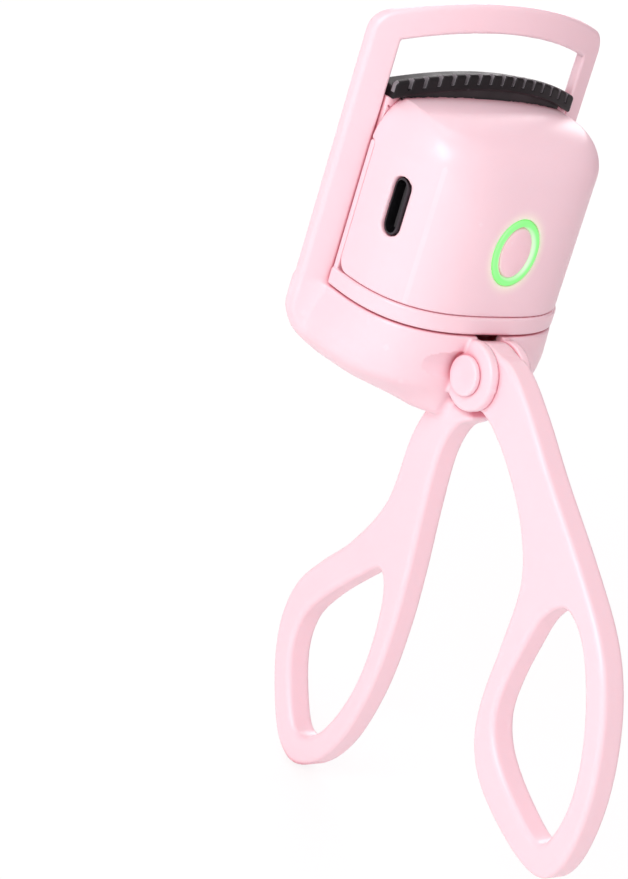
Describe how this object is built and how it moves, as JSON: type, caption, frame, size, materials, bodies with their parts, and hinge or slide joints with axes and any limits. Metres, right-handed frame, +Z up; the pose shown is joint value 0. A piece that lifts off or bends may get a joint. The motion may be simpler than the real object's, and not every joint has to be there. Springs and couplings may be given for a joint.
{
  "type": "heated eyelash curler",
  "caption": "Scissor-handled heated eyelash curler: an arched frame with a sliding heated comb pad, two finger loops, a power button and a USB-C socket.",
  "frame": {"origin": "centre of the open curler's bounding box", "axes": "X along the hinge pin, Y from the front with the button towards the eye side, Z up along the rails"},
  "size_m": [0.0442, 0.0766, 0.1286],
  "materials": {
    "pink_plastic": "glossy",
    "button_plastic": "glossy",
    "ring_light": "satin",
    "silicone": "satin",
    "heat_plastic": "matte",
    "steel": "satin",
    "heater": "satin",
    "cell_foil": "satin",
    "foam": "matte",
    "board": "satin",
    "black_plastic": "matte",
    "led": "glossy",
    "wire": "satin"
  },
  "bodies": {
    "frame": {"main_frame": "pink_plastic", "hinge_pin": "steel", "pin_caps": "pink_plastic"},
    "handle": {"front_handle": "pink_plastic", "drive_pin": "steel"},
    "carriage": {"front_cover": "pink_plastic", "rear_cover": "pink_plastic", "comb_pad": "silicone", "pad_holder": "heat_plastic", "heating_plate": "heater", "temperature_sensor": "black_plastic", "battery": "cell_foil", "battery_foam": "foam", "circuit_board": "board", "control_chip": "black_plastic", "usb_shell": "steel", "usb_tongue": "black_plastic", "tact_switch": "black_plastic", "light_ring": "ring_light", "status_leds": "led", "cover_screws": "steel", "battery_wires": "wire", "heater_wires": "wire"},
    "button": {"power_button": "button_plastic"}
  },
  "joints": [
    {"name": "handle_hinge", "type": "hinge", "parent": "frame", "child": "handle", "pos_m": [0, 0.01119, 0.01246], "axis": [1, 0, 0], "range_deg": [0, 25]},
    {"name": "carriage_slide", "type": "slide", "parent": "frame", "child": "carriage", "axis": [0, 0, 1], "range_m": [0, 0.0059]},
    {"name": "button_press", "type": "slide", "parent": "carriage", "child": "button", "axis": [0, 1, 0], "range_m": [0, 0.0005]}
  ],
  "couplings": [
    {"joint": "carriage_slide", "follows": "handle_hinge", "m_per_rad": 0.013492}
  ]
}
